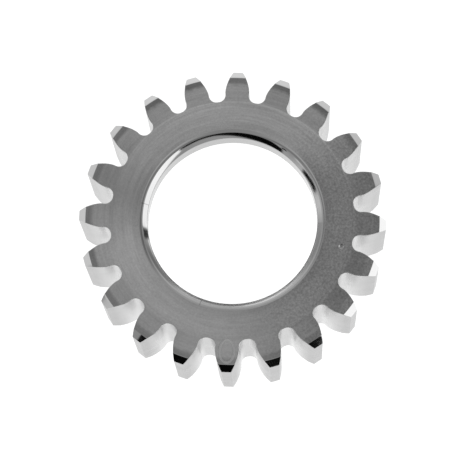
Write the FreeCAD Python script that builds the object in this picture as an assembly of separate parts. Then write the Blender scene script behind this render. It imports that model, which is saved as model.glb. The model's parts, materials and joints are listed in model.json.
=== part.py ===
import FreeCAD, Part
import math
import os

# Spur timing gear with a plain bush pressed into its bore.
# Frame: millimetres, +Z is the gear axis, the origin is the centre of the back
# face, the marked front face is at z = FACE_WIDTH, and one tooth is centred on +X.

# ---- tooth system ----
MODULE = 3.0
TEETH = 20
TOOTH_STEP = 2.0 * math.pi / TEETH
PRESSURE_ANGLE = math.radians(20.0)
PITCH_R = MODULE * TEETH / 2.0
BASE_R = PITCH_R * math.cos(PRESSURE_ANGLE)
TIP_R = PITCH_R + 1.0 * MODULE
ROOT_R = PITCH_R - 1.25 * MODULE
ROOT_FILLET_R = 1.6                 # almost a full round
TOOTH_THINNING = 0.03               # taken off the thickness at the pitch circle for backlash
CUTTER_OVERRUN = 0.8                # tooth outline beyond TIP_R; the blank sets the real tips
CUTTER_END_OVERRUN = 1.0            # tooth prism beyond each face of the blank
FLANK_POINTS = 14
FLANK_SPACING_POWER = 1.5           # above 1 packs the flank points toward the base circle

# ---- width and faces; depths are measured inward from the hub face ----
FACE_WIDTH = 22.0
TIP_CHAMFER_RADIAL = 1.44           # on the ends of the teeth, both sides
TIP_CHAMFER_DEPTH = 1.17
TIP_RELIEF_R = 30.2                 # the tooth ends fall away slightly outside this radius
TIP_RELIEF_DROP = 0.14
HUB_FACE_R = 26.0                   # edge of the ground hub face
HUB_FACE_RAMP = 0.40                # radial width of the ramp at that edge
HUB_FACE_STEP = 0.025               # the toothed rim's face stands this much below the hub face

# ---- bore, front lip ----
LIP_R = 18.27
LIP_DEPTH = 5.19                    # from the front face to the shoulder
SHOULDER_Z = FACE_WIDTH - LIP_DEPTH
MOUTH_CHAMFER_R = 19.25             # where the polished lead-in cone meets the edge break
MOUTH_CHAMFER_AXIAL = 0.83
MOUTH_BREAK_R = 19.95               # outside radius of the soft edge break around the cone
MOUTH_BREAK_DROP = 0.14

# ---- bore, seat of the bush ----
SEAT_R = 20.25
SEAT_CHAMFER = 0.6                  # at the back face

# ---- bush ----
BUSH_BORE_R = 18.25
BUSH_OUTER_R = SEAT_R
BUSH_RECESS = 0.5                   # the bush's back end lies this far inside the back face
BUSH_BORE_CHAMFER = 0.5             # back end
BUSH_LEAD_AXIAL = 1.0               # narrow lead-in cone on the outside of the front end
BUSH_LEAD_RADIAL = 0.25
BUSH_BACK_OUTER_CHAMFER = 0.4

# ---- marks on the front face ----
TIMING_MARK_RADIUS = 28.62          # its centre, on the tooth that points along -Y
TIMING_MARK_HALF_WIDTH = 1.78       # across the tooth, to the groove's outer edge
TIMING_MARK_HALF_LENGTH = 2.75      # along the tooth
TIMING_MARK_GROOVE = 0.50
TIMING_MARK_DEPTH = 0.04            # below the toothed rim's face
TIMING_MARK_CUTTER_HEIGHT = 2.0     # reaches well clear of the front face
PUNCH_DOT_R = 24.1                  # radius of the circle the punch dot lies on
PUNCH_DOT_ANGLE = math.radians(-12.5)
PUNCH_DOT_BALL_R = 0.9
PUNCH_DOT_DEPTH = 0.22

AXIS = FreeCAD.Vector(0, 0, 1)
ORIGIN = FreeCAD.Vector(0, 0, 0)


def polar(radius, angle, z=0.0):
    return FreeCAD.Vector(radius * math.cos(angle), radius * math.sin(angle), z)


def involute(angle):
    return math.tan(angle) - angle


def flank_half_angle(radius):
    """Half the angle that one tooth covers at a radius on or outside the base circle."""
    at_pitch = (math.pi * MODULE / 2.0 - TOOTH_THINNING) / 2.0 / PITCH_R
    at_base = at_pitch + involute(PRESSURE_ANGLE)
    return at_base - involute(math.acos(BASE_R / radius))


def polar_arc(radius, start, middle, end):
    """Arc about the gear axis through three angles."""
    return Part.Arc(polar(radius, start), polar(radius, middle), polar(radius, end)).toShape()


def tooth_side(mid, side, flank_radii):
    """Root fillet, radial line and involute on one side (-1 or 1) of the tooth at angle mid."""
    base_half = flank_half_angle(BASE_R)
    fillet_centre_r = ROOT_R + ROOT_FILLET_R
    fillet_half = base_half + math.asin(ROOT_FILLET_R / fillet_centre_r)
    flank_start_r = math.sqrt(fillet_centre_r ** 2 - ROOT_FILLET_R ** 2)

    def at(radius, half_angle):
        return polar(radius, mid + side * half_angle)

    flank = Part.BSplineCurve()
    flank.interpolate([at(r, flank_half_angle(r)) for r in flank_radii])
    fillet_top = at(flank_start_r, base_half)
    straight = Part.LineSegment(fillet_top, at(BASE_R, base_half))

    # the fillet's middle point lies on the line from its centre through the chord's middle
    centre = at(fillet_centre_r, fillet_half)
    fillet_foot = at(ROOT_R, fillet_half)
    bulge = (fillet_foot + fillet_top) * 0.5 - centre
    bulge.normalize()
    fillet = Part.Arc(fillet_foot, centre + bulge * ROOT_FILLET_R, fillet_top)
    return [fillet.toShape(), straight.toShape(), flank.toShape()]


def tooth_outline(tip_r):
    """Closed wire of the whole toothed outline, with tips at tip_r."""
    flank_radii = [
        BASE_R + (tip_r - BASE_R) * (i / (FLANK_POINTS - 1.0)) ** FLANK_SPACING_POWER
        for i in range(FLANK_POINTS)
    ]
    top_half = flank_half_angle(tip_r)
    root_half = flank_half_angle(BASE_R) + math.asin(ROOT_FILLET_R / (ROOT_R + ROOT_FILLET_R))
    edges = []
    for tooth in range(TEETH):
        mid = tooth * TOOTH_STEP
        for side in (-1, 1):
            edges += tooth_side(mid, side, flank_radii)
        edges.append(polar_arc(tip_r, mid - top_half, mid, mid + top_half))
        edges.append(polar_arc(
            ROOT_R, mid + root_half, mid + TOOTH_STEP / 2.0, mid + TOOTH_STEP - root_half
        ))
    return Part.Wire(Part.__sortEdges__(edges))


def turned(profile):
    """Solid of revolution about Z from (radius, z) corners."""
    corners = [FreeCAD.Vector(r, 0, z) for r, z in profile]
    face = Part.Face(Part.makePolygon(corners + corners[:1]))
    return face.revolve(ORIGIN, AXIS, 360)


def gear_blank():
    """The blank before the teeth are cut: faces, steps, chamfers and the stepped bore."""
    # (radius, depth below the hub face) from the hub outward, the same on both ends
    end_face = [
        (HUB_FACE_R - HUB_FACE_RAMP, 0.0),
        (HUB_FACE_R, HUB_FACE_STEP),
        (TIP_RELIEF_R, HUB_FACE_STEP),
        (TIP_R - TIP_CHAMFER_RADIAL, HUB_FACE_STEP + TIP_RELIEF_DROP),
        (TIP_R, TIP_CHAMFER_DEPTH),
    ]
    mouth = [
        (LIP_R, FACE_WIDTH - MOUTH_BREAK_DROP - MOUTH_CHAMFER_AXIAL),
        (MOUTH_CHAMFER_R, FACE_WIDTH - MOUTH_BREAK_DROP),
        (MOUTH_BREAK_R, FACE_WIDTH),
    ]
    front = [(r, FACE_WIDTH - depth) for r, depth in end_face]
    back = end_face[::-1]
    seat = [
        (SEAT_R + SEAT_CHAMFER, 0.0),
        (SEAT_R, SEAT_CHAMFER),
        (SEAT_R, SHOULDER_Z),
        (LIP_R, SHOULDER_Z),
    ]
    return turned(mouth + front + back + seat)


def timing_mark():
    """Cutter for the oval ring engraved on the end of one tooth."""
    # the floor is flat, so the groove runs out where the tooth end falls away
    floor_z = FACE_WIDTH - HUB_FACE_STEP - TIMING_MARK_DEPTH
    centre = FreeCAD.Vector(0, -TIMING_MARK_RADIUS, floor_z)

    def oval(inset):
        long_end = centre + FreeCAD.Vector(0, TIMING_MARK_HALF_LENGTH - inset, 0)
        short_end = centre + FreeCAD.Vector(TIMING_MARK_HALF_WIDTH - inset, 0, 0)
        rim = Part.Wire(Part.Ellipse(long_end, short_end, centre).toShape())
        return Part.Face(rim).extrude(AXIS * TIMING_MARK_CUTTER_HEIGHT)

    return oval(0.0).cut(oval(TIMING_MARK_GROOVE))


def punch_dot():
    """Ball that cuts the small dimple."""
    ball_z = FACE_WIDTH - PUNCH_DOT_DEPTH + PUNCH_DOT_BALL_R
    return Part.makeSphere(PUNCH_DOT_BALL_R, polar(PUNCH_DOT_R, PUNCH_DOT_ANGLE, ball_z))


def gear_body():
    outline = Part.Face(tooth_outline(TIP_R + CUTTER_OVERRUN))
    outline.translate(AXIS * -CUTTER_END_OVERRUN)
    prism = outline.extrude(AXIS * (FACE_WIDTH + 2.0 * CUTTER_END_OVERRUN))
    body = gear_blank().common(prism)
    body = body.cut(timing_mark()).cut(punch_dot())
    # a boolean may wrap its single solid in a compound
    return body.Solids[0] if len(body.Solids) == 1 else body


def bore_bush():
    return turned([
        (BUSH_BORE_R, SHOULDER_Z),
        (BUSH_OUTER_R - BUSH_LEAD_RADIAL, SHOULDER_Z),
        (BUSH_OUTER_R, SHOULDER_Z - BUSH_LEAD_AXIAL),
        (BUSH_OUTER_R, BUSH_RECESS + BUSH_BACK_OUTER_CHAMFER),
        (BUSH_OUTER_R - BUSH_BACK_OUTER_CHAMFER, BUSH_RECESS),
        (BUSH_BORE_R + BUSH_BORE_CHAMFER, BUSH_RECESS),
        (BUSH_BORE_R, BUSH_RECESS + BUSH_BORE_CHAMFER),
    ])


PARTS = {"gear_body": gear_body, "bore_bush": bore_bush}

os.makedirs("parts", exist_ok=True)
for name, make in PARTS.items():
    make().exportStep(os.path.join("parts", name + ".step"))
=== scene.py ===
"""A 20-tooth spur gear with a bearing bush pressed into its bore, in a white studio.

The gear lies flat with its axis on Z: its back face is at z = 0 and its front face looks up +Z.
The camera looks down on the front face, leaning a little towards -Y. Shape sizes are in
millimetres and become metres through MM.
"""
import json
import math
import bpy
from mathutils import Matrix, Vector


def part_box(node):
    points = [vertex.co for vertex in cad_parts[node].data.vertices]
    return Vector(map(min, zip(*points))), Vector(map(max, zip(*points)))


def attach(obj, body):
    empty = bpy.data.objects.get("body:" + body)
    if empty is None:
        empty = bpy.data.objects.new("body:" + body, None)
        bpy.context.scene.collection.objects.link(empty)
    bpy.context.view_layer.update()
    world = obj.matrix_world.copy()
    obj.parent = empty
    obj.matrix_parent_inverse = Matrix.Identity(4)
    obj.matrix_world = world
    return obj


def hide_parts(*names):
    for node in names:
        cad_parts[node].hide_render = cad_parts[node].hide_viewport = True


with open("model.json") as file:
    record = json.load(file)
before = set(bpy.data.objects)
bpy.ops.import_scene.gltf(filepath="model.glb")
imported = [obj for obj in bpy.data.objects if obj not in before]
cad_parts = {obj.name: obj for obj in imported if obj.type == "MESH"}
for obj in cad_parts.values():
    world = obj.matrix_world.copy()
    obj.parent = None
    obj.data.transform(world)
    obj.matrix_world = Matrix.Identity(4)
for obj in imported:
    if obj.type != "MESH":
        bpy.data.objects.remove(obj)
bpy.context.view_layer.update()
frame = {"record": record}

from types import SimpleNamespace

import bmesh
import bpy
from mathutils import Matrix


MM = 0.001
scene = bpy.context.scene
scene.view_settings.view_transform = "Standard"
scene.view_settings.look = "None"
scene.view_settings.exposure = 0.0
scene.view_settings.gamma = 1.0

# ------------------------------------------------------------------ dimensions from the CAD
gear_low, gear_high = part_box("gear_body")
bush_low, bush_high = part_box("bore_bush")
WIDTH = round((gear_high.z - gear_low.z) / MM, 3)
BUSH_TOP = round(bush_high.z / MM, 3)
BUSH_FOOT = round(bush_low.z / MM, 3)
SEAT_R = round((bush_high.x - bush_low.x) / 2 / MM, 2)
BORE_R = [m for m in frame["record"]["mounts"] if m["name"] == "bore"][0]["dims"]["r_mm"]

# ------------------------------------------------------------------ dimensions of the gear
MODULE, TEETH, PRESSURE = 3.0, 20, math.radians(20.0)
PITCH_R = MODULE * TEETH / 2
BASE_R = PITCH_R * math.cos(PRESSURE)
TIP_R, ROOT_R = PITCH_R + MODULE, PITCH_R - 1.25 * MODULE
FILLET = 1.6                      # radius of the root fillets
THINNING = 0.03                   # taken off the tooth thickness at the pitch circle
TIP_EDGE_R = TIP_R - 1.44         # where the tip chamfer meets the end face
TIP_CHAMFER = 1.17                # depth of the tip chamfer below the hub face
RELIEF_R, RELIEF_DROP = 30.2, 0.14    # start and depth of the slope on the tooth ends
HUB_R, HUB_RAMP, HUB_STEP = 26.0, 0.40, 0.025    # the hub face stands this step above the teeth
EDGE = 0.11                       # radius of the broken edges around the tooth ends
TIP_BREAK = 0.03                  # half width of the broken edge at the tip chamfer

LIP_R = BORE_R + 0.02
MOUTH_R, MOUTH_AXIAL = 19.25, 0.83    # outer radius and height of the mouth cone
BREAK_R, BREAK_DROP = 19.95, 0.14     # the soft edge around the cone
CONE_CROWN = 4.2                  # degrees the cone turns either side of its mean slope
CONE_EDGE = 0.02                  # broken inner edge of the cone
LIP_DEPTHS = (1.6, 2.4, 3.6, 4.6)     # rings on the lip, below the front face
SHOULDER_DEPTH = 5.19
SEAT_CHAMFER = 0.6

FILLET_STEPS, FLANK_STEPS = 10, 16    # segments in a root fillet and in an involute
TOOTH_STEPS, ROOT_STEPS = 18, 2       # segments across a tooth and across a root land
EDGE_STEPS, CHAMFER_STEPS, TIP_STEPS = 4, 4, 8
HUB_RAMP_STEPS, BREAK_STEPS, CONE_STEPS = 4, 8, 12


def involute(angle):
    return math.tan(angle) - angle


# half angles of a tooth: at the base circle, and out to the centre of its root fillet
HALF_BASE = (math.pi * MODULE / 2 - THINNING) / 2 / PITCH_R + involute(PRESSURE)
FILLET_CENTRE_R = ROOT_R + FILLET
FILLET_TURN = math.asin(FILLET / FILLET_CENTRE_R)
HALF_FOOT = HALF_BASE + FILLET_TURN
TOOTH_ANGLE = 2 * math.pi / TEETH

SIDE_ROWS = FILLET_STEPS + FLANK_STEPS + 2
PER_TOOTH = 2 * SIDE_ROWS + (TOOTH_STEPS - 1) + (ROOT_STEPS - 1)
TIP_SPAN = range(SIDE_ROWS - 1, SIDE_ROWS - 1 + TOOTH_STEPS)    # wall faces that lie on the tip

# material slots of the gear
FACE, FLANK, TIP, CONE, LIP, BACK = range(6)


def smoothstep(t):
    t = min(max(t, 0.0), 1.0)
    return t * t * (3 - 2 * t)


def end_drop(radius):
    """How far an end face of the gear lies below the hub face at this radius."""
    drop = HUB_STEP * smoothstep((radius - (HUB_R - HUB_RAMP)) / HUB_RAMP)
    if radius > RELIEF_R:
        drop += RELIEF_DROP * (radius - RELIEF_R) / (TIP_EDGE_R - RELIEF_R)
    return drop


def end_z(front, drop):
    return WIDTH - drop if front else drop


# ------------------------------------------------------------------ mesh building
class Builder:
    """Collects vertices given in millimetres, and bands of faces between rings of them."""

    def __init__(self):
        self.bm = bmesh.new()

    def point(self, x, y, z):
        return self.bm.verts.new((x * MM, y * MM, z * MM))

    def polar(self, radius, angle, z):
        return self.point(radius * math.cos(angle), radius * math.sin(angle), z)

    def ring(self, template, radius, z):
        """A circle of vertices at the same angles as the template's."""
        return [self.polar(radius, math.atan2(v.co.y, v.co.x), z) for v in template]

    def quad(self, corners, material):
        face = self.bm.faces.new(corners)
        face.material_index = material
        face.smooth = True
        return face

    def join(self, first, second, material):
        """Closed band of faces between two rings."""
        count = len(first)
        faces = []
        for i in range(count):
            j = (i + 1) % count
            faces.append(self.quad((first[i], first[j], second[j], second[i]), material))
        return faces

    def mesh(self, name):
        bmesh.ops.recalc_face_normals(self.bm, faces=self.bm.faces)
        mesh = bpy.data.meshes.new(name)
        self.bm.to_mesh(mesh)
        self.bm.free()
        return mesh


def tooth_rows(end_radius, inset=0.0):
    """(radius, half angle) of the rows up a tooth, from the root circle to end_radius, moved
    inset millimetres into the metal."""
    points = []
    centre_x = FILLET_CENTRE_R * math.cos(HALF_FOOT)
    centre_y = FILLET_CENTRE_R * math.sin(HALF_FOOT)
    reach = FILLET + inset
    for k in range(FILLET_STEPS + 1):
        angle = HALF_FOOT - math.pi + (math.pi / 2 - FILLET_TURN) * k / FILLET_STEPS
        points.append((centre_x + reach * math.cos(angle), centre_y + reach * math.sin(angle)))
    for k in range(FLANK_STEPS + 1):
        radius = BASE_R + (end_radius - min(inset, TIP_BREAK) - BASE_R) * k / FLANK_STEPS
        slope = math.acos(BASE_R / radius)       # the flank leans this far from the radius
        half = HALF_BASE - involute(slope)
        lean = half - slope
        points.append((radius * math.cos(half) + inset * math.sin(lean),
                       radius * math.sin(half) - inset * math.cos(lean)))
    return [(math.hypot(x, y), math.atan2(y, x)) for x, y in points]


def root_land(builder, middle, radius, z):
    """Vertices within the root land that follows the tooth at angle middle."""
    land = TOOTH_ANGLE - 2 * HALF_FOOT
    return [builder.polar(radius, middle + HALF_FOOT + land * k / ROOT_STEPS, z)
            for k in range(1, ROOT_STEPS)]


def tooth_loop(builder, rows, root_radius, root_z):
    """Loop around the whole gear; rows are (radius, half angle, z) up one tooth."""
    tip_radius, tip_half, tip_z = rows[-1]
    loop = []
    for tooth in range(TEETH):
        middle = tooth * TOOTH_ANGLE
        near = [builder.polar(radius, middle - half, z) for radius, half, z in rows]
        far = [builder.polar(radius, middle + half, z) for radius, half, z in rows]
        start = middle - tip_half
        tip = [builder.polar(tip_radius, start + 2 * tip_half * k / TOOTH_STEPS, tip_z)
               for k in range(1, TOOTH_STEPS)]
        loop += near + tip + far[::-1] + root_land(builder, middle, root_radius, root_z)
    return loop


def wall_loop(builder, end_radius, z):
    rows = [(radius, half, z) for radius, half in tooth_rows(end_radius)]
    return tooth_loop(builder, rows, ROOT_R, z)


def edge_loop(builder, front, k):
    """Loop k of the rounding from an end face (0) to the tooth flanks (EDGE_STEPS)."""
    part = k / EDGE_STEPS
    turn = math.pi / 2 * part
    inset, drop = EDGE * (1 - math.sin(turn)), EDGE * (1 - math.cos(turn))
    chamfer_slope = math.atan2(TIP_CHAMFER - HUB_STEP - RELIEF_DROP, TIP_R - TIP_EDGE_R)
    tip_radius = TIP_EDGE_R - TIP_BREAK + 2 * TIP_BREAK * part
    tip_drop = TIP_BREAK * math.tan(chamfer_slope * part) * part

    def height(radius, fall):
        return end_z(front, fall + end_drop(min(radius, TIP_EDGE_R)))

    rows = [(radius, half, height(radius, drop)) for radius, half in tooth_rows(TIP_EDGE_R, inset)]
    rows[-1] = (tip_radius, rows[-1][1], height(tip_radius, tip_drop))
    root_radius = ROOT_R - inset
    return tooth_loop(builder, rows, root_radius, height(root_radius, drop))


def end_face(builder, front, radii, material):
    """One end of the gear: a grid on each tooth and rings inwards at the radii. Returns the
    vertices of the outline in order, and the innermost ring."""
    rows = tooth_rows(TIP_EDGE_R, EDGE)
    base = ROOT_R - EDGE
    outline, foot = [], []
    for tooth in range(TEETH):
        middle = tooth * TOOTH_ANGLE
        grid = []
        for radius, half in rows:
            z = end_z(front, end_drop(radius))
            grid.append([builder.polar(radius, middle - half + 2 * half * k / TOOTH_STEPS, z)
                         for k in range(TOOTH_STEPS + 1)])
        for lower, upper in zip(grid, grid[1:]):
            for k in range(TOOTH_STEPS):
                builder.quad((lower[k], lower[k + 1], upper[k + 1], upper[k]), material)
        land = root_land(builder, middle, base, end_z(front, end_drop(base)))
        outline += [row[0] for row in grid] + grid[-1][1:-1]
        outline += [row[-1] for row in reversed(grid)] + land
        foot += grid[0] + land
    inner = foot
    for radius in radii:
        ring = builder.ring(foot, radius, end_z(front, end_drop(radius)))
        builder.join(inner, ring, material)
        inner = ring
    return outline, inner


# ------------------------------------------------------------------ gear
def tooth_walls(builder, front_outline, back_outline):
    """The teeth, from the outline of the front face down to that of the back face."""
    chamfer = []                                 # (radius, depth) down the tip chamfer
    for k in range(1, CHAMFER_STEPS + 1):
        t = k / CHAMFER_STEPS
        depth = (HUB_STEP + RELIEF_DROP) * (1 - t) + TIP_CHAMFER * t
        chamfer.append((TIP_EDGE_R + (TIP_R - TIP_EDGE_R) * t, depth))
    levels = [(radius, WIDTH - depth) for radius, depth in chamfer]
    for k in range(1, TIP_STEPS):
        levels.append((TIP_R, WIDTH - TIP_CHAMFER - (WIDTH - 2 * TIP_CHAMFER) * k / TIP_STEPS))
    levels += chamfer[::-1]

    front_edge = [edge_loop(builder, True, k) for k in range(1, EDGE_STEPS + 1)]
    back_edge = [edge_loop(builder, False, k) for k in range(EDGE_STEPS, 0, -1)]
    walls = [wall_loop(builder, radius, z) for radius, z in levels]
    loops = [front_outline] + front_edge + walls + back_edge + [back_outline]
    bands = len(loops) - 1
    chamfer_bands = CHAMFER_STEPS + EDGE_STEPS
    for i, (upper, lower) in enumerate(zip(loops, loops[1:])):
        faces = builder.join(upper, lower, FLANK)
        if i < chamfer_bands or i >= bands - chamfer_bands:
            for k, face in enumerate(faces):
                if k % PER_TOOTH in TIP_SPAN:
                    face.material_index = TIP


def bore_profile():
    """(radius, z, material) of the rings from the front face through the lip to the seat."""
    profile = []
    for k in range(BREAK_STEPS + 1):
        t = k / BREAK_STEPS
        profile.append((BREAK_R + (MOUTH_R - BREAK_R) * t, WIDTH - BREAK_DROP * t ** 2, CONE))

    # the cone is crowned: an arc from a flat start to a steep end, fitted between its two edges
    mean_slope = math.atan2(MOUTH_AXIAL, MOUTH_R - LIP_R)
    crown = math.radians(CONE_CROWN)
    slopes = [mean_slope + crown * (2 * k / CONE_STEPS - 1) for k in range(CONE_STEPS + 1)]
    arc = [(0.0, 0.0)]
    for first, second in zip(slopes, slopes[1:]):
        slope = (first + second) / 2
        arc.append((arc[-1][0] - math.cos(slope), arc[-1][1] - math.sin(slope)))
    fit_radius, fit_z = (LIP_R - MOUTH_R) / arc[-1][0], -MOUTH_AXIAL / arc[-1][1]
    for across, down in arc[1:]:
        profile.append((MOUTH_R + across * fit_radius, WIDTH - BREAK_DROP + down * fit_z, CONE))

    radius, z, _ = profile[-1]
    profile[-1] = (radius + CONE_EDGE, z + CONE_EDGE, CONE)
    profile += [(radius + 0.3 * CONE_EDGE, z, CONE), (radius, z - CONE_EDGE, LIP)]
    profile += [(LIP_R, WIDTH - depth, LIP) for depth in LIP_DEPTHS]
    shoulder = WIDTH - SHOULDER_DEPTH
    profile += [(LIP_R, shoulder, LIP), (19.2, shoulder, LIP)]
    profile += [(SEAT_R, z, LIP) for z in (shoulder, 12.0, 6.0, SEAT_CHAMFER)]
    return profile


def gear_mesh():
    builder = Builder()
    hub_radii = [HUB_R + 0.06]
    hub_radii += [HUB_R - HUB_RAMP * k / HUB_RAMP_STEPS for k in range(HUB_RAMP_STEPS + 1)]
    hub_radii += [HUB_R - HUB_RAMP - 0.03, 24.6, 23.4, 22.2]
    front_radii = hub_radii + [21.2, 20.5, BREAK_R + 0.03]
    back_radii = hub_radii + [21.4, SEAT_R + SEAT_CHAMFER]
    front_outline, front_ring = end_face(builder, True, front_radii, FACE)
    back_outline, back_ring = end_face(builder, False, back_radii, BACK)
    tooth_walls(builder, front_outline, back_outline)
    inner = front_ring
    for radius, z, material in bore_profile():
        ring = builder.ring(front_ring, radius, z)
        builder.join(inner, ring, material)
        inner = ring
    builder.join(inner, back_ring, BACK)
    return builder.mesh("gear")


def new_object(name, mesh):
    obj = bpy.data.objects.new(name, mesh)
    scene.collection.objects.link(obj)
    return obj


def bake(obj):
    """Apply the object's modifiers."""
    graph = bpy.context.evaluated_depsgraph_get()
    mesh = bpy.data.meshes.new_from_object(
        obj.evaluated_get(graph), preserve_all_data_layers=True, depsgraph=graph)
    obj.modifiers.clear()
    obj.data = mesh


# the timing mark, an oval groove in the end of the tooth towards -Y
MARK_Y, MARK_HALF_X, MARK_HALF_Y = -28.62, 1.53, 2.50
MARK_WIDTH, MARK_DEPTH = 0.50, 0.035
MARK_STEPS, MARK_TUBE_STEPS = 120, 28

# the punch mark, a round dimple in the hub face
PUNCH_BALL_R, PUNCH_DEPTH = 0.9, 0.22
PUNCH_R, PUNCH_ANGLE = 24.1, math.radians(-12.5)


def timing_mark_cutter():
    """Tube that follows the end face around the oval and cuts a shallow round groove."""
    tube = (MARK_WIDTH * MARK_WIDTH / 4 + MARK_DEPTH * MARK_DEPTH) / (2 * MARK_DEPTH)
    builder = Builder()
    loops = []
    for k in range(MARK_STEPS):
        angle = 2 * math.pi * k / MARK_STEPS
        x, y = MARK_HALF_X * math.cos(angle), MARK_Y + MARK_HALF_Y * math.sin(angle)
        out_x, out_y = math.cos(angle) / MARK_HALF_X, math.sin(angle) / MARK_HALF_Y
        length = math.hypot(out_x, out_y)
        out_x, out_y = out_x / length, out_y / length
        z = WIDTH - end_drop(math.hypot(x, y)) + tube - MARK_DEPTH
        loop = []
        for j in range(MARK_TUBE_STEPS):
            turn = 2 * math.pi * j / MARK_TUBE_STEPS
            out, up = tube * math.cos(turn), tube * math.sin(turn)
            loop.append(builder.point(x + out_x * out, y + out_y * out, z + up))
        loops.append(loop)
    for k in range(MARK_STEPS):
        builder.join(loops[k], loops[(k + 1) % MARK_STEPS], 0)
    return new_object("timing_mark_cutter", builder.mesh("timing_mark_cutter"))


def punch_cutter():
    bm = bmesh.new()
    bmesh.ops.create_uvsphere(bm, u_segments=40, v_segments=28, radius=PUNCH_BALL_R * MM)
    mesh = bpy.data.meshes.new("punch_cutter")
    bm.to_mesh(mesh)
    bm.free()
    cutter = new_object("punch_cutter", mesh)
    cutter.location = (PUNCH_R * MM * math.cos(PUNCH_ANGLE), PUNCH_R * MM * math.sin(PUNCH_ANGLE),
                       (WIDTH - PUNCH_DEPTH + PUNCH_BALL_R) * MM)
    return cutter


def cut(obj, cutter):
    boolean = obj.modifiers.new("cut", "BOOLEAN")
    boolean.operation = "DIFFERENCE"
    boolean.solver = "EXACT"
    boolean.object = cutter
    bake(obj)
    bpy.data.objects.remove(cutter)


gear = new_object("toothed_gear", gear_mesh())
cut(gear, timing_mark_cutter())
cut(gear, punch_cutter())

# ------------------------------------------------------------------ bush
LAYER, SHELL = 0, 1               # material slots of the bush
BUSH_SEGMENTS = 360
# radius, z, and the material of the band that leads to the next corner
BUSH_PROFILE = (
    (BORE_R, BUSH_TOP, LAYER),
    (BORE_R + 0.9, BUSH_TOP, SHELL),
    (SEAT_R - 0.25, BUSH_TOP, SHELL),
    (SEAT_R, BUSH_TOP - 1.0, SHELL),
    (SEAT_R, BUSH_FOOT + 6.0, SHELL),
    (SEAT_R, BUSH_FOOT + 0.4, SHELL),
    (SEAT_R - 0.4, BUSH_FOOT, SHELL),
    (BORE_R + 1.1, BUSH_FOOT, SHELL),
    (BORE_R + 0.5, BUSH_FOOT, SHELL),
    (BORE_R, BUSH_FOOT + 0.5, LAYER),
    (BORE_R, BUSH_FOOT + 5.0, LAYER),
    (BORE_R, BUSH_FOOT + 10.0, LAYER),
)


def bush_mesh():
    builder = Builder()
    angles = [2 * math.pi * k / BUSH_SEGMENTS for k in range(BUSH_SEGMENTS)]
    loops = [[builder.polar(radius, angle, z) for angle in angles]
             for radius, z, _ in BUSH_PROFILE]
    for i, (_, _, material) in enumerate(BUSH_PROFILE):
        builder.join(loops[i], loops[(i + 1) % len(loops)], material)
    return builder.mesh("bush")


def soften_edges(obj):
    bevel = obj.modifiers.new("edges", "BEVEL")
    bevel.width = 0.04 * MM
    bevel.segments = 2
    bevel.limit_method = "ANGLE"
    bevel.angle_limit = math.radians(14.0)
    bevel.miter_outer = "MITER_ARC"
    bevel.use_clamp_overlap = True
    bevel.harden_normals = False
    bake(obj)


bush = new_object("bearing_bush", bush_mesh())
soften_edges(bush)


# ------------------------------------------------------------------ shader nodes
class Value:
    """Output of a shader node. Arithmetic on it adds Math nodes to its tree."""

    def __init__(self, socket):
        self.socket = socket
        self.tree = socket.id_data

    def __add__(self, other):
        return calc("ADD", self, other)

    def __radd__(self, other):
        return calc("ADD", other, self)

    def __sub__(self, other):
        return calc("SUBTRACT", self, other)

    def __rsub__(self, other):
        return calc("SUBTRACT", other, self)

    def __mul__(self, other):
        return calc("MULTIPLY", self, other)

    def __rmul__(self, other):
        return calc("MULTIPLY", other, self)

    def __truediv__(self, other):
        return calc("DIVIDE", self, other)

    def scaled(self, by, plus):
        return calc("MULTIPLY_ADD", self, by, plus)

    def spread(self, amount, about):
        """Noise around 0.5 turned into a variation of this amount about a level."""
        return (self - 0.5).scaled(amount, about)

    def ramp(self, span, to=(0.0, 1.0), kind="SMOOTHSTEP"):
        """The span mapped to the two ends of `to`, and held beyond them."""
        inputs = {"Value": self, "From Min": span[0], "From Max": span[1],
                  "To Min": to[0], "To Max": to[1]}
        return output(self.tree, "ShaderNodeMapRange", inputs, "Result",
                      interpolation_type=kind, clamp=True)

    def curve(self, levels):
        """Smooth curve through levels at equal steps from 0 to 1."""
        node = add_node(self.tree, "ShaderNodeValToRGB", {0: self})
        node.color_ramp.interpolation = "B_SPLINE"
        stops = node.color_ramp.elements
        while len(stops) < len(levels):
            stops.new(0.5)
        for k, level in enumerate(levels):
            stops[k].position = k / (len(levels) - 1)
            stops[k].color = (level, level, level, 1.0)
        return Value(node.outputs[0])

    def noise(self, scale=1.0, detail=2.0, rough=0.5):
        inputs = {"Vector": self, "Scale": scale, "Detail": detail, "Roughness": rough}
        return output(self.tree, "ShaderNodeTexNoise", inputs, noise_dimensions="3D")


def add_node(tree, kind, inputs=None, **settings):
    """New node; inputs maps socket names or numbers to Values or constants."""
    node = tree.nodes.new(kind)
    for name, setting in settings.items():
        setattr(node, name, setting)
    for key, value in (inputs or {}).items():
        if isinstance(value, Value):
            tree.links.new(value.socket, node.inputs[key])
        else:
            node.inputs[key].default_value = value
    return node


def output(tree, kind, inputs=None, socket=0, **settings):
    return Value(add_node(tree, kind, inputs, **settings).outputs[socket])


def calc(operation, *terms):
    tree = next(term.tree for term in terms if isinstance(term, Value))
    return output(tree, "ShaderNodeMath", dict(enumerate(terms)), operation=operation)


def length(x, y):
    return calc("SQRT", x * x + y * y)


def mixed(first, second, share):
    return first * (1.0 - share) + second * share


def vector(x, y, z):
    return output(x.tree, "ShaderNodeCombineXYZ", {0: x, 1: y, 2: z})


def separate(whole):
    return [Value(s) for s in add_node(whole.tree, "ShaderNodeSeparateXYZ", {0: whole}).outputs]


def camera_ray(tree):
    return output(tree, "ShaderNodeLightPath", socket="Is Camera Ray")


def empty_tree(owner):
    owner.use_nodes = True
    owner.node_tree.nodes.clear()
    return owner.node_tree


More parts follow.
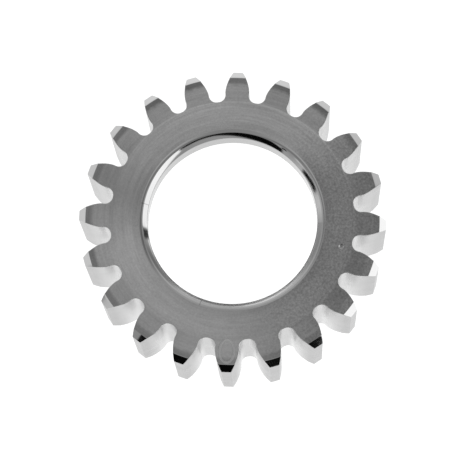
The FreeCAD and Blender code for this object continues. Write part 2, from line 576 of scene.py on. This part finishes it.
def placement(tree):
    """Position on the object, and its radius and direction from the Z axis."""
    at = output(tree, "ShaderNodeTexCoord", socket="Object")
    x, y, z = separate(at)
    radius = length(x, y)
    cos = x / calc("MAXIMUM", radius, 1e-5)
    sin = y / calc("MAXIMUM", radius, 1e-5)
    return SimpleNamespace(at=at, x=x, y=y, z=z, radius=radius, cos=cos, sin=sin)


def around(place, tones):
    """Smooth curve through tones at equal steps of the angle, clockwise from +X seen from +Z."""
    turns = calc("FRACT", calc("ARCTAN2", place.sin, place.cos) * (-0.5 / math.pi))
    top = max(max(tones), 1.0)                   # a colour ramp stops at 1
    levels = [tone / top for tone in tones]
    return turns.curve(levels + levels[:1]) * top


def marks(place, across, pitch, variation, detail=3.0):
    """Tool marks: noise with this pitch in mm along `across`, and long around the axis."""
    where = vector(across * (1 / (pitch * MM)), place.cos * variation, place.sin * variation)
    return where.noise(detail=detail, rough=0.6)


def rings(place, pitch, variation, detail=3.0):
    """Concentric tool marks."""
    return marks(place, place.radius, pitch, variation, detail)


def uneven(scale, low, high):
    """Roughness that wanders between low and high."""
    return lambda place: place.at.noise(scale).ramp(span=(0.3, 0.7), to=(low, high), kind="LINEAR")


def metal(name, base, rough, bump=None, anisotropy=0.0):
    """Metal whose base brightness, roughness and bump are functions of the placement."""
    material = bpy.data.materials.new(name)
    tree = empty_tree(material)
    place = placement(tree)
    tone = base(place)
    grey = output(tree, "ShaderNodeCombineColor", {0: tone, 1: tone, 2: tone})
    inputs = {"Metallic": 1.0, "Base Color": grey, "Roughness": rough(place)}
    if bump:
        relief = {"Strength": 1.0, "Distance": 0.02 * MM, "Height": bump(place)}
        inputs["Normal"] = output(tree, "ShaderNodeBump", relief)
    if anisotropy:
        # reflections smear across the tool marks, so along the radius
        inputs["Anisotropic"] = anisotropy
        inputs["Tangent"] = vector(place.cos, place.sin, 0.0)
    shader = output(tree, "ShaderNodeBsdfPrincipled", inputs)
    add_node(tree, "ShaderNodeOutputMaterial", {0: shader})
    return material


# ------------------------------------------------------------------ turned end faces
FACE_LEVEL = 0.50
MARK_LEVEL, MARK_ROUGH = 0.56, 0.42
# painted light and shade around the gear in 18 degree steps: inside the tooth roots, on the ends of
# the teeth, and on the slope towards their tips
HUB_PAINTED_SHADING = (0.66, 0.62, 0.62, 0.74, 0.76, 0.96, 0.95, 1.03, 1.02, 1.21,
            0.80, 0.70, 0.95, 0.93, 1.01, 0.97, 0.93, 1.00, 0.74, 0.58)
TOOTH_END_PAINTED_SHADING = (0.56, 0.51, 0.48, 0.70, 0.75, 1.07, 0.86, 0.87, 0.84, 1.08,
              0.90, 0.60, 0.88, 0.85, 0.94, 0.94, 0.70, 0.89, 0.70, 0.53)
RELIEF_PAINTED_SHADING = (0.59, 0.79, 0.80, 0.58, 0.53, 0.77, 0.51, 0.73, 0.78, 0.58,
               0.64, 0.53, 0.53, 0.37, 0.38, 0.56, 0.37, 0.40, 0.47, 0.62)


def in_mark(place):
    """1 in the oval groove, 0 beside it, from the first-order distance to the oval."""
    half_x, half_y = MARK_HALF_X * MM, MARK_HALF_Y * MM
    across = place.x / half_x
    along = (place.y - MARK_Y * MM) / half_y
    reach = length(across, along)
    slope = length(across / half_x, along / half_y) / calc("MAXIMUM", reach, 0.05)
    distance = calc("ABSOLUTE", reach - 1.0) / calc("MAXIMUM", slope, 1.0)
    return distance.ramp(span=(0.20 * MM, 0.32 * MM), to=(1.0, 0.0))


def face_painted_shading(place):
    """Painted light and shade on the face by zone and around the gear: hub, tooth ends and their
    outer slope.
    """
    radius = place.radius
    zone = radius.ramp(span=(25.9 * MM, 27.0 * MM))
    hub = around(place, HUB_PAINTED_SHADING) * radius.ramp(span=(20.0 * MM, 22.6 * MM), to=(0.91, 1.02))
    tone = mixed(hub, around(place, TOOTH_END_PAINTED_SHADING), zone)
    # a painted highlight: a thin bright line at the edge of the hub, on the +Y side
    from_edge = calc("ABSOLUTE", radius - 26.1 * MM)
    painted_edge_highlight = (from_edge.ramp(span=(0.10 * MM, 0.26 * MM), to=(1.0, 0.0))
                 * place.sin.ramp(span=(0.1, 0.6), to=(0.0, 0.13)))
    tone = tone * (1.0 + painted_edge_highlight)
    ragged = place.at.noise(scale=900.0).spread(amount=0.9 * MM, about=radius)
    return mixed(tone, around(place, RELIEF_PAINTED_SHADING), ragged.ramp(span=(29.7 * MM, 30.8 * MM)))


def face_base(place):
    right = (place.cos * 0.985 - place.sin * 0.174).ramp(span=(0.25, 0.85))
    hair = rings(place, pitch=0.16, variation=3.0)
    fine = rings(place, pitch=0.42, variation=2.2)
    broad = rings(place, pitch=0.85, variation=1.5, detail=2.0)
    grain = place.at.noise(scale=2100.0, detail=3.0, rough=0.65)
    patchy = place.at.noise(scale=420.0)
    value = hair.spread(amount=0.12, about=1.0)
    value = fine.spread(amount=right.scaled(by=-0.10, plus=0.30), about=value)
    value = broad.spread(amount=place.sin.ramp(span=(-0.2, 0.6), to=(0.20, 0.40)), about=value)
    value = patchy.spread(amount=0.14, about=value)
    value = grain.spread(amount=right.scaled(by=0.95, plus=0.38), about=value)
    # painted light and shade on the face, by zone and around the gear
    value = value * face_painted_shading(place) * FACE_LEVEL
    return mixed(value, MARK_LEVEL, in_mark(place) * 0.8)


def face_rough(place):
    even = uneven(scale=900.0, low=0.20, high=0.26)(place)
    return mixed(even, MARK_ROUGH, in_mark(place))


def face_bump(place):
    return rings(place, pitch=0.18, variation=2.0) * 0.12 + place.at.noise(scale=2200.0) * 0.08


# ------------------------------------------------------------------ tooth flanks
# painted light and shade up a tooth in 0.5 mm steps of radius, in general and on the side towards -Y
FLANK_SPAN = (26.0 * MM, 32.0 * MM)
FLANK_PAINTED_SHADING_UP = (0.76, 0.61, 0.57, 0.66, 0.69, 0.61, 0.56, 0.52, 0.50, 0.47, 0.44, 0.42, 0.41)
FLANK_PAINTED_SHADING_UP_MINUS_Y = (0.56, 0.54, 0.85, 0.77, 0.74, 0.74, 0.75, 0.68, 0.61, 0.54, 0.50, 0.45, 0.41)
# painted light and shade around the gear in 18 degree steps
FLANK_PAINTED_SHADING_AROUND = (0.97, 0.95, 0.90, 0.85, 0.88, 0.87, 0.84, 0.84, 0.88, 0.96,
              0.98, 0.94, 0.91, 0.95, 1.00, 0.98, 0.91, 0.88, 0.93, 0.96)


def flank_base(place):
    stretched = vector(place.x * 1500.0, place.y * 1500.0, place.z * 90.0)
    lengthwise = stretched.noise(detail=3.0, rough=0.6)
    cloud = place.at.noise(scale=180.0)
    sides = place.radius.ramp(span=FLANK_SPAN, kind="LINEAR").curve(FLANK_PAINTED_SHADING_UP)
    lower = place.radius.ramp(span=FLANK_SPAN, kind="LINEAR").curve(FLANK_PAINTED_SHADING_UP_MINUS_Y)
    share = place.sin.ramp(span=(-0.85, -0.25), to=(1.0, 0.0), kind="LINEAR")
    # painted light and shade up the flanks, on the -Y side and around the gear
    level = mixed(sides, lower, share) * around(place, FLANK_PAINTED_SHADING_AROUND)
    return lengthwise.spread(amount=0.05, about=cloud.spread(amount=0.02, about=level))


def chamfer_base(place):
    return rings(place, pitch=0.12, variation=6.0).spread(amount=0.08, about=0.46)


# ------------------------------------------------------------------ mouth cone and its edge
# hand polished, so roughness varies around the bore, in 12 degree steps; brightness around the bore
# is painted
# light and shade: the cone in 12 degree steps, the edge break around it in 18 degree steps
CONE_LEVEL = 0.46
CONE_PAINTED_SHADING = (0.48, 0.38, 0.46, 0.61, 1.06, 1.19, 1.21, 0.71, 0.75, 0.65,
             0.90, 0.38, 0.30, 0.24, 0.74, 0.97, 0.86, 1.00, 0.97, 0.90,
             1.00, 1.00, 1.00, 1.00, 0.90, 1.35, 1.00, 0.90, 0.66, 1.00)
CONE_ROUGH = (0.14, 0.18, 0.20, 0.20, 0.20, 0.20, 0.20, 0.20, 0.20, 0.20,
              0.20, 0.20, 0.17, 0.12, 0.07, 0.06, 0.06, 0.06, 0.06, 0.08,
              0.10, 0.09, 0.08, 0.07, 0.07, 0.07, 0.08, 0.10, 0.12, 0.13)
BREAK_PAINTED_SHADING = (0.82, 0.82, 1.14, 1.16, 1.14, 0.89, 1.13, 1.16, 0.89, 0.48,
              0.76, 0.99, 1.24, 1.36, 0.74, 0.81, 0.86, 1.22, 1.26, 1.15)
SCRATCHES = (108.2, 188.5)        # light scratches across the cone, degrees clockwise from +X


def scratch(place, angle):
    """1 on the radial line at this angle, 0 beside it."""
    cos, sin = math.cos(math.radians(-angle)), math.sin(math.radians(-angle))
    distance = place.radius * calc("ABSOLUTE", place.cos * sin - place.sin * cos)
    line = distance.ramp(span=(0.03 * MM, 0.12 * MM), to=(1.0, 0.0))
    return line * calc("GREATER_THAN", place.cos * cos + place.sin * sin, 0.0)


def cone_base(place):
    radius = place.radius
    lines = rings(place, pitch=0.10, variation=4.0)
    on_break = radius.ramp(span=(19.15 * MM, 19.35 * MM))
    # painted light and shade around the cone and its edge break
    tone = mixed(around(place, CONE_PAINTED_SHADING), around(place, BREAK_PAINTED_SHADING), on_break)
    # painted light: the last of the cone turns down into the bore; on the -Y half it is painted
    # brighter
    last = radius.ramp(span=(18.42 * MM, 18.74 * MM), to=(1.0, 0.0))
    painted_lift = place.sin.ramp(span=(-0.45, 0.0), to=(1.4, 0.0))
    tone = tone * last.scaled(by=painted_lift, plus=1.0)
    for angle in SCRATCHES:
        tone = tone * scratch(place, angle).scaled(by=-0.40, plus=1.0)
    return lines.spread(amount=0.20, about=1.0) * (tone * CONE_LEVEL)


def cone_rough(place):
    wander = rings(place, pitch=0.3, variation=8.0)
    return wander.ramp(span=(0.3, 0.7), to=(0.8, 1.2), kind="LINEAR") * around(place, CONE_ROUGH)


# ------------------------------------------------------------------ lip and bush
def lip_base(place):
    return marks(place, place.z, pitch=0.2, variation=3.0).spread(amount=0.06, about=0.37)


def layer_base(place):
    """Painted sheen: the bearing layer is painted bright at a glancing angle and dull seen squarely.
    """
    lines = marks(place, place.z, pitch=1 / 3, variation=5.0)
    glancing = output(place.at.tree, "ShaderNodeLayerWeight", socket="Facing")
    span = (0.30, 0.70)
    return lines.spread(amount=glancing.ramp(span, to=(0.12, 0.03)),
                        about=glancing.ramp(span, to=(0.60, 0.93)))


def shell_base(place):
    return rings(place, pitch=0.15, variation=3.0).spread(amount=0.10, about=0.60)


turned_face = metal("turned_face", face_base, face_rough, face_bump, anisotropy=0.6)
gear_metals = (
    turned_face,
    metal("hobbed_flank", flank_base, uneven(scale=300.0, low=0.27, high=0.31)),
    metal("turned_tip_chamfer", chamfer_base, uneven(scale=700.0, low=0.025, high=0.055)),
    metal("polished_mouth_cone", cone_base, cone_rough),
    metal("bored_lip", lip_base, uneven(scale=500.0, low=0.12, high=0.18)),
    turned_face,
)
bush_metals = (
    metal("burnished_bearing_layer", layer_base, uneven(scale=500.0, low=0.05, high=0.09)),
    metal("bush_steel_back", shell_base, uneven(scale=700.0, low=0.22, high=0.32)),
)


# ------------------------------------------------------------------ finishing the pieces
def shade(obj):
    """Sharp edges from 27 degrees up, and normals weighted towards the large faces."""
    bm = bmesh.new()
    bm.from_mesh(obj.data)
    for edge in bm.edges:
        gentle = edge.calc_face_angle(0.0) < math.radians(27.0)
        edge.smooth = len(edge.link_faces) != 2 or gentle
    bm.to_mesh(obj.data)
    bm.free()
    normals = obj.modifiers.new("normals", "WEIGHTED_NORMAL")
    normals.keep_sharp = True
    normals.weight = 80


for piece, metals in ((gear, gear_metals), (bush, bush_metals)):
    for material in metals:
        piece.data.materials.append(material)
    shade(piece)

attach(gear, "root")
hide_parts("gear_body")
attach(bush, "root")
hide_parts("bore_bush")

# ------------------------------------------------------------------ floor
WHITE = (1, 1, 1, 1)
FLOOR_LIGHT = 1.14
CORE_LIGHT = 0.80                 # reflected under the bore, so the bush doesn't burn out
FLOOR_HALF = 6.0                  # metres
FLOOR_Z = -0.02 * MM
# reflected light of the floor away from the gear, around it in 18 degree steps
FLAG_TONE = (0.25, 0.95, 0.90, 0.30, 0.20, 0.80, 1.00, 0.85, 0.30, 0.20,
             0.75, 1.00, 0.90, 0.35, 0.18, 0.70, 1.00, 0.80, 0.30, 0.18)


def floor_material():
    """Even white seen directly, but banded as if by dark flags where the steel reflects it."""
    material = bpy.data.materials.new("white_sweep")
    tree = empty_tree(material)
    place = placement(tree)
    bands = around(place, FLAG_TONE)
    reflected = 1.0 - camera_ray(tree)
    core = place.radius.ramp(span=(1.0 * MM, 14.0 * MM), to=(1.0, 0.0)) * reflected
    away = place.radius.ramp(span=(50.0 * MM, 75.0 * MM)) * reflected
    strength = mixed(mixed(FLOOR_LIGHT, CORE_LIGHT, core), bands, away)
    glow = output(tree, "ShaderNodeEmission", {"Color": WHITE, "Strength": strength})
    add_node(tree, "ShaderNodeOutputMaterial", {0: glow})
    return material


floor_mesh = bpy.data.meshes.new("floor")
floor_corners = [(x * FLOOR_HALF, y * FLOOR_HALF, 0) for x, y in ((-1, -1), (1, -1), (1, 1), (-1, 1))]
floor_mesh.from_pydata(floor_corners, [], [(0, 1, 2, 3)])
floor = new_object("floor", floor_mesh)
floor.location.z = FLOOR_Z
floor_mesh.materials.append(floor_material())

# ------------------------------------------------------------------ studio
# Cards of the surround, in degrees: azimuth counterclockwise from +X, half width, lower and
# upper elevation, softness across and up, slants of the lower and upper edges (elevation per
# degree of azimuth). The last column of CARDS is the light level.
OPENING = (-103.2, 29.3, 17.5, 41.0, 1.5, 2.0, 0.37, 0.60)    # dark, towards -Y
OPENING_LEVEL = 0.004
CARDS = (
    (-67.0, 21.6, 28.0, 47.0, 1.2, 0.8, 0.0, 0.0, 0.01),
    (-133.6, 2.2, 24.5, 30.0, 0.5, 0.8, 0.0, 0.0, 0.01),
    (-138.8, 2.8, 23.0, 30.0, 0.6, 1.5, 0.0, 0.0, 0.50),
    (-12.0, 32.5, 4.0, 38.0, 1.0, 3.0, -0.61, -0.12, 2.0),    # the big softbox, towards +X
    (-49.4, 5.6, 27.4, 47.0, 0.4, 0.5, 0.0, 0.0, 0.01),
    (-163.2, 9.2, 11.0, 22.6, 1.5, 1.2, 0.0, -0.2, 0.01),
    (-154.0, 9.0, 21.9, 28.0, 2.0, 0.6, 0.0, 0.0, 1.0),
    (24.5, 3.5, -5.0, 24.0, 1.5, 3.0, 0.0, 0.0, 0.10),
)
PANEL_LEVEL = 0.54


def card(azimuth, elevation, shape):
    """1 inside a card of the surround, 0 outside it, with soft edges."""
    centre, half_width, low, high, soft_across, soft_up, slant_low, slant_high = shape
    turn = calc("MODULO", azimuth - centre + 900.0, 360.0) - 180.0
    sides = (half_width - soft_across, half_width + soft_across)
    across = calc("ABSOLUTE", turn).ramp(span=sides, to=(1.0, 0.0))
    above = elevation - turn * slant_low
    below = elevation - turn * slant_high
    over_low = above.ramp(span=(low - soft_up, low + soft_up))
    under_high = below.ramp(span=(high - soft_up, high + soft_up), to=(1.0, 0.0))
    return across * (over_low * under_high)


def cover(light, mask, level):
    return mask.scaled(by=level, plus=light * (1.0 - mask))


def backdrop(x, y, elevation):
    """Bright at the horizon and falling off above it towards +Y, dim towards -Y."""
    far = (elevation.ramp(span=(3.5, 9.0), to=(1.40, 1.08), kind="LINEAR")
           * elevation.ramp(span=(9.0, 20.0), to=(1.0, 0.78))
           * elevation.ramp(span=(20.0, 40.0), to=(1.0, 0.85))
           * elevation.ramp(span=(56.0, 68.0), to=(1.0, 0.42)))
    near = (elevation.ramp(span=(25.0, 45.0), to=(0.55, 0.35))
            * elevation.ramp(span=(56.0, 68.0), to=(1.0, 0.75)))
    left = elevation.ramp(span=(22.0, 55.0), to=(1.20, 0.28))
    light = cover(near, y.ramp(span=(-0.25, 0.15)), far)
    return cover(light, x.ramp(span=(-0.97, -0.70), to=(1.0, 0.0)), left)


def overhead_panel(x, y, z):
    pane_x = x / calc("MAXIMUM", z, 0.05)
    pane_y = y / calc("MAXIMUM", z, 0.05)
    across = (pane_x.ramp(span=(-0.32, -0.16))
              * pane_x.ramp(span=(0.08, 0.24), to=(1.0, 0.0)))
    along = (pane_y.ramp(span=(-0.80, -0.55))
             * pane_y.ramp(span=(0.50, 0.80), to=(1.0, 0.0)))
    return across * along * z.ramp(span=(0.3, 0.5))


def surround_light(tree):
    """Brightness of the studio by direction, as the steel sees it."""
    direction = output(tree, "ShaderNodeTexCoord", socket="Generated")
    direction = output(tree, "ShaderNodeVectorMath", {0: direction}, operation="NORMALIZE")
    x, y, z = separate(direction)
    azimuth = calc("ARCTAN2", y, x) * (180 / math.pi)
    elevation = calc("ARCSINE", z) * (180 / math.pi)
    light = backdrop(x, y, elevation)
    light = cover(light, overhead_panel(x, y, z), PANEL_LEVEL)
    opening_top = elevation.ramp(span=(44.0, 50.0), to=(1.0, 0.0))
    light = cover(light, card(azimuth, elevation, OPENING) * opening_top, OPENING_LEVEL)
    for *shape, level in CARDS:
        light = cover(light, card(azimuth, elevation, shape), level)
    return light


def background(tree, strength):
    return output(tree, "ShaderNodeBackground", {"Color": WHITE, "Strength": strength})


world = bpy.data.worlds.new("studio")
scene.world = world
world_tree = empty_tree(world)
surround = background(world_tree, surround_light(world_tree))
seen = background(world_tree, FLOOR_LIGHT)
choice = {0: camera_ray(world_tree), 1: surround, 2: seen}
add_node(world_tree, "ShaderNodeOutputWorld", {0: output(world_tree, "ShaderNodeMixShader", choice)})

# ------------------------------------------------------------------ camera
camera_data = bpy.data.cameras.new("camera")
camera = new_object("camera", camera_data)
camera_data.sensor_width = 36.0
camera_data.lens = 192.47
camera_data.clip_start = 0.01
camera_data.clip_end = 50.0
# columns: the camera's right, up and backward directions, and its place in metres
camera.matrix_world = Matrix((
    (0.99878971, -0.03255107, 0.03687195, 0.01781385),
    (0.03989756, 0.97460364, -0.22035410, -0.11555968),
    (-0.02876277, 0.22155851, 0.97472280, 0.52634010),
    (0.0, 0.0, 0.0, 1.0),
))
scene.camera = camera
